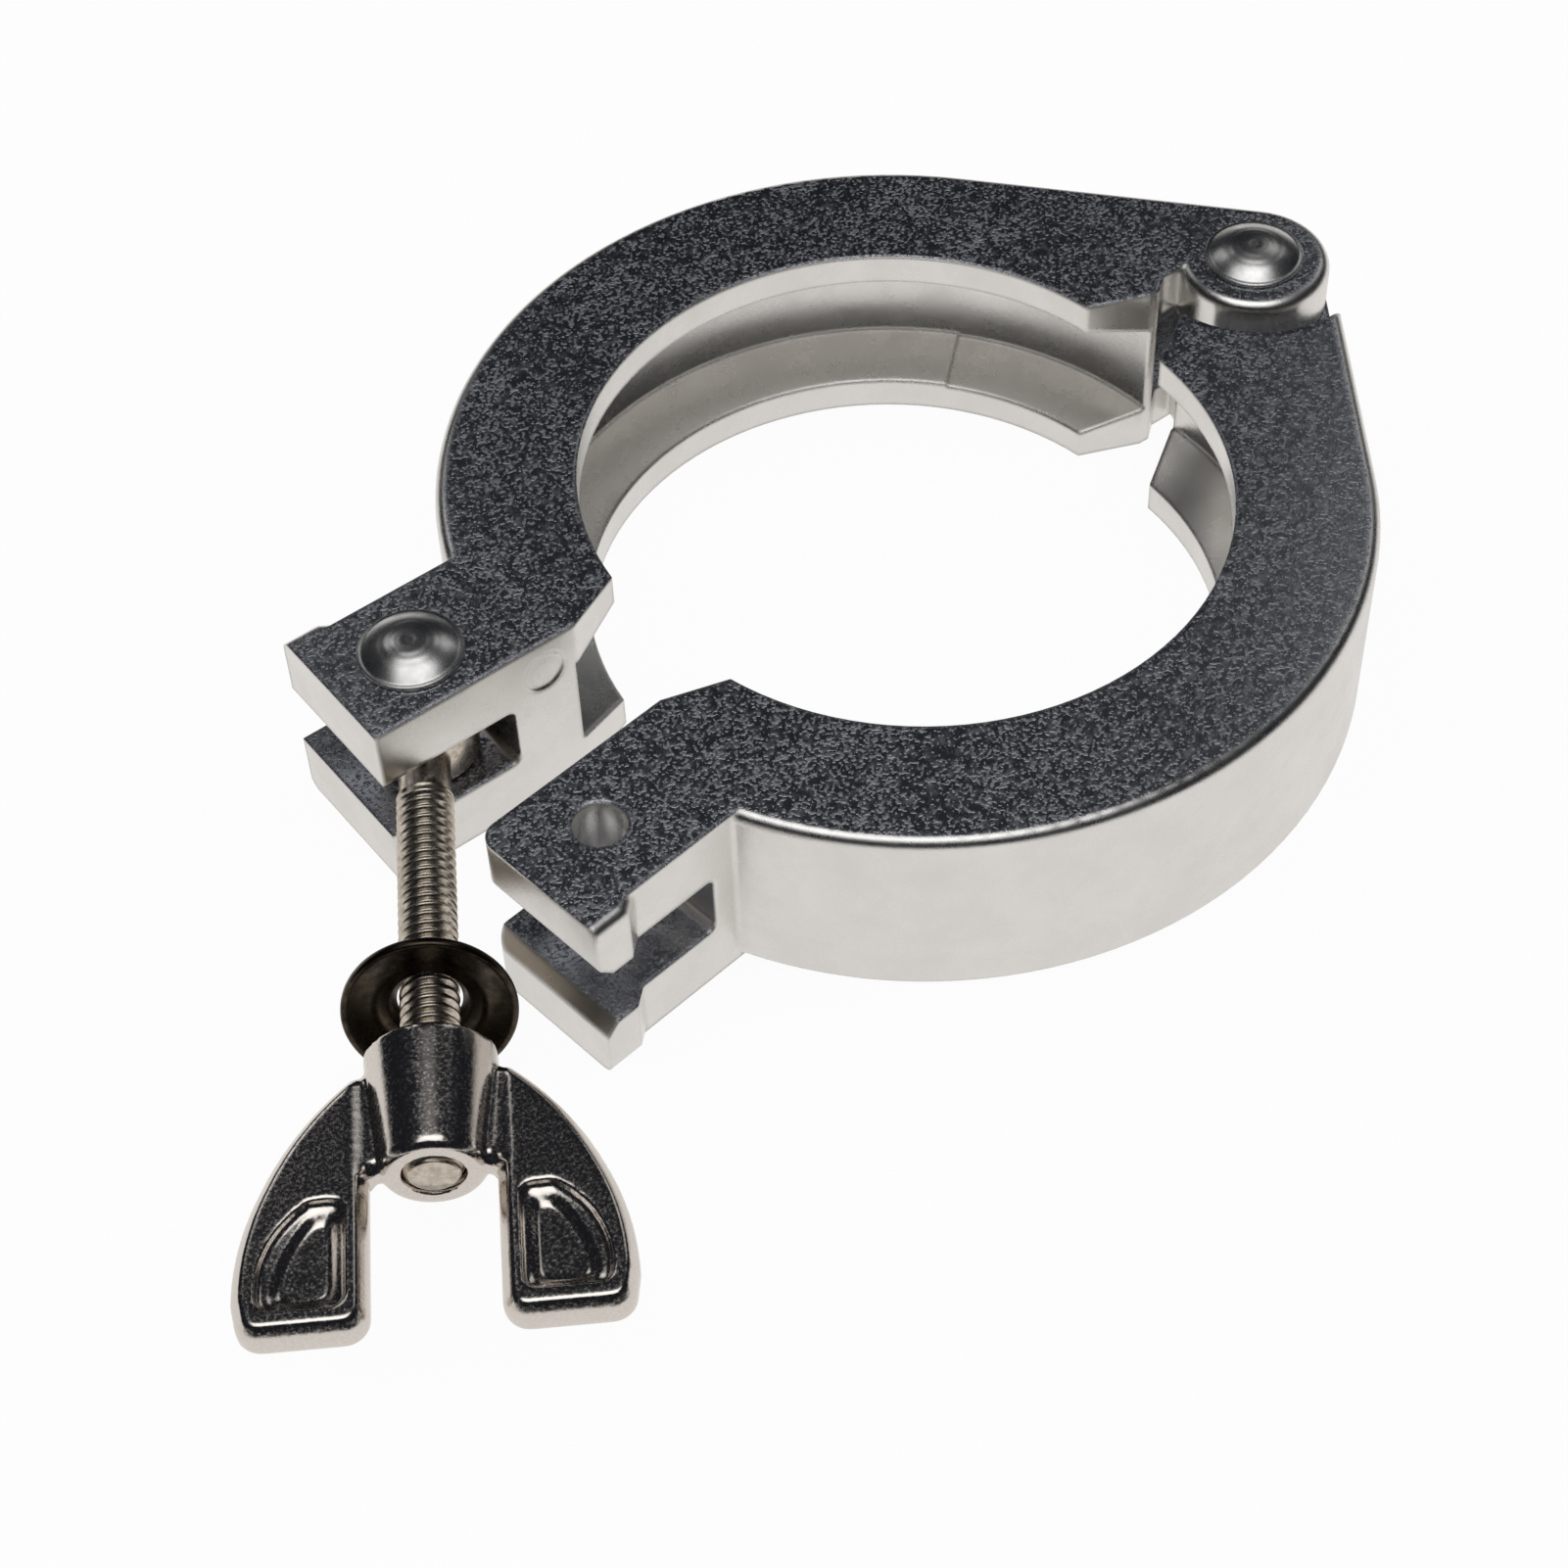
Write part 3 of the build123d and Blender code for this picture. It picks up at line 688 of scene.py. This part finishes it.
forMetal = addNode(tree, "ShaderNodeMixShader",
                   links={0: paleShare.outputs[0], 1: forCamera.outputs[0], 2: mirrored.outputs[0]})
addNode(tree, "ShaderNodeOutputMaterial", links={"Surface": forMetal.outputs[0]})
shape = bmesh.new()
floorLevel = cadBox[0][2] - stage["floorDrop"]
half = stage["floorSize"] / 2
outline = ((-half, -half), (half, -half), (half, half), (-half, half))
shape.faces.new([shape.verts.new((x, y, floorLevel)) for x, y in outline])
floorMesh = bpy.data.meshes.new("floor")
shape.to_mesh(floorMesh)
shape.free()
floorMesh.materials.append(floorMaterial)
floor = bpy.data.objects.new("floor", floorMesh)
bpy.context.scene.collection.objects.link(floor)

world = bpy.data.worlds.new("studio")
bpy.context.scene.world = world
world.use_nodes = True
tree = world.node_tree
tree.nodes.clear()
way = addNode(tree, "ShaderNodeTexCoord")
wayParts = addNode(tree, "ShaderNodeSeparateXYZ", links={"Vector": way.outputs["Generated"]})
start, finish = stage["horizonRange"]
height = addNode(tree, "ShaderNodeMapRange",
                 {"interpolation_type": "SMOOTHSTEP", "From Min": start, "From Max": finish},
                 {"Value": wayParts.outputs["Z"]})
start, finish = stage["ceilingRange"]
overhead = addNode(tree, "ShaderNodeMapRange",
                   {"interpolation_type": "SMOOTHSTEP", "From Min": start, "From Max": finish},
                   {"Value": wayParts.outputs["Z"]})
upper = addNode(tree, "ShaderNodeMix",
                {"data_type": "RGBA", 6: linearColour(stage["roomColour"]),
                 7: linearColour(stage["ceilingColour"])},
                {0: overhead.outputs[0]})
room = addNode(tree, "ShaderNodeMix", {"data_type": "RGBA", 6: linearColour(stage["horizonColour"])},
               {0: height.outputs[0], 7: upper.outputs[2]})
roomLight = addNode(tree, "ShaderNodeBackground", {"Strength": 1.0}, {"Color": room.outputs[2]})
whiteLight = addNode(tree, "ShaderNodeBackground", {"Color": (1, 1, 1, 1), "Strength": 1.0})
path = addNode(tree, "ShaderNodeLightPath")
shown = addNode(tree, "ShaderNodeMixShader",
                links={0: path.outputs["Is Camera Ray"], 1: roomLight.outputs[0], 2: whiteLight.outputs[0]})
addNode(tree, "ShaderNodeOutputWorld", links={"Surface": shown.outputs[0]})

lamps = {
    # bearing from +X and height in degrees, distance, width and depth in m, radiance, seen in metal
    "frontBox": (-128, 80, 0.8, 0.7, 0.64, 1.15, True),
    "backRightBox": (21, 40, 0.9, 0.3, 0.3, 0.6, True),
    "backLeftBox": (86, 42, 0.9, 0.2, 0.26, 0.9, True),
    "leftFill": (144, 42, 1.0, 1.0, 0.8, 1.7, False),
    "rightFill": (-36, 42, 1.0, 1.0, 0.8, 1.7, False),
}
for name, (bearing, elevation, distance, width, depth, radiance, seenInMetal) in lamps.items():
    lamp = bpy.data.lights.new(name, "AREA")
    lamp.shape = "RECTANGLE"
    lamp.size = width
    lamp.size_y = depth
    lamp.energy = radiance * math.pi * width * depth
    holder = bpy.data.objects.new(name, lamp)
    bpy.context.scene.collection.objects.link(holder)
    lean, turn = math.radians(elevation), math.radians(bearing)
    toLamp = Vector((math.cos(turn) * math.cos(lean), math.sin(turn) * math.cos(lean), math.sin(lean)))
    holder.location = toLamp * distance
    holder.rotation_euler = toLamp.to_track_quat("Z", "Y").to_euler()
    holder.visible_glossy = seenInMetal

view = {
    "place": (-108.94, -136.18, 178.82), "turn": (39.947, 1.609, -37.775),    # mm and degrees
    "lens": 74.74, "sensor": 36, "nearest": 10 * mm,
}
cameraData = bpy.data.cameras.new("camera")
cameraData.sensor_width = view["sensor"]
cameraData.lens = view["lens"]
cameraData.clip_start = view["nearest"]
camera = bpy.data.objects.new("camera", cameraData)
camera.location = Vector(view["place"]) * mm
camera.rotation_euler = Euler([math.radians(angle) for angle in view["turn"]])
bpy.context.scene.collection.objects.link(camera)
bpy.context.scene.camera = camera
bpy.context.scene.view_settings.view_transform = "Standard"
print("stage and camera set")
